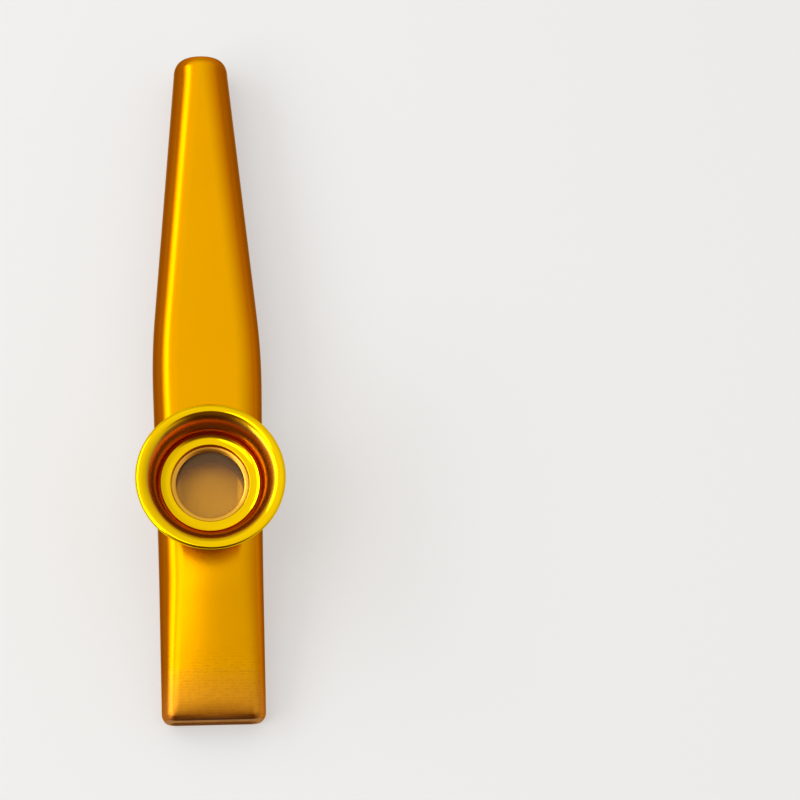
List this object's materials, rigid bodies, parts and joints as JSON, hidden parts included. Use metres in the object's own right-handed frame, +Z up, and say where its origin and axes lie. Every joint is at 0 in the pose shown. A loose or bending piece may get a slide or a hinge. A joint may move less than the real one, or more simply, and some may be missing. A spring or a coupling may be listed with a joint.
{
  "type": "kazoo",
  "caption": "Metal kazoo: flattened tapered tube with a threaded turret, a ringed film membrane and a flared screw-on bell.",
  "frame": {"origin": "on the flat underside of the tube, straight below the bell's axis", "axes": "+X across the tube, +Y along it towards the small round end, +Z up along the bell's axis"},
  "size_m": [0.0254, 0.12, 0.0235],
  "materials": {
    "satin_gold": "satin gold anodised",
    "turned_gold": "turned, gold anodised",
    "film": "thin translucent film",
    "ring_card": "matt white",
    "polished_gold": "polished, gold anodised"
  },
  "bodies": {
    "kazoo": {"tube": "satin_gold", "turret": "turned_gold"},
    "membrane": {"membrane_film": "film", "membrane_ring": "ring_card"},
    "bell": {"bell": "polished_gold"}
  },
  "joints": [
    {"name": "bell_rise", "type": "slide", "parent": "kazoo", "child": "membrane", "axis": [0, 0, 1], "range_m": [0, 0.0038]},
    {"name": "bell_turn", "type": "hinge", "parent": "membrane", "child": "bell", "pos_m": [0, 0, 0.01753], "axis": [0, 0, 1], "range_deg": [0, 1080]}
  ],
  "couplings": [
    {"joint": "bell_rise", "follows": "bell_turn", "m_per_rad": 0.00019894}
  ]
}
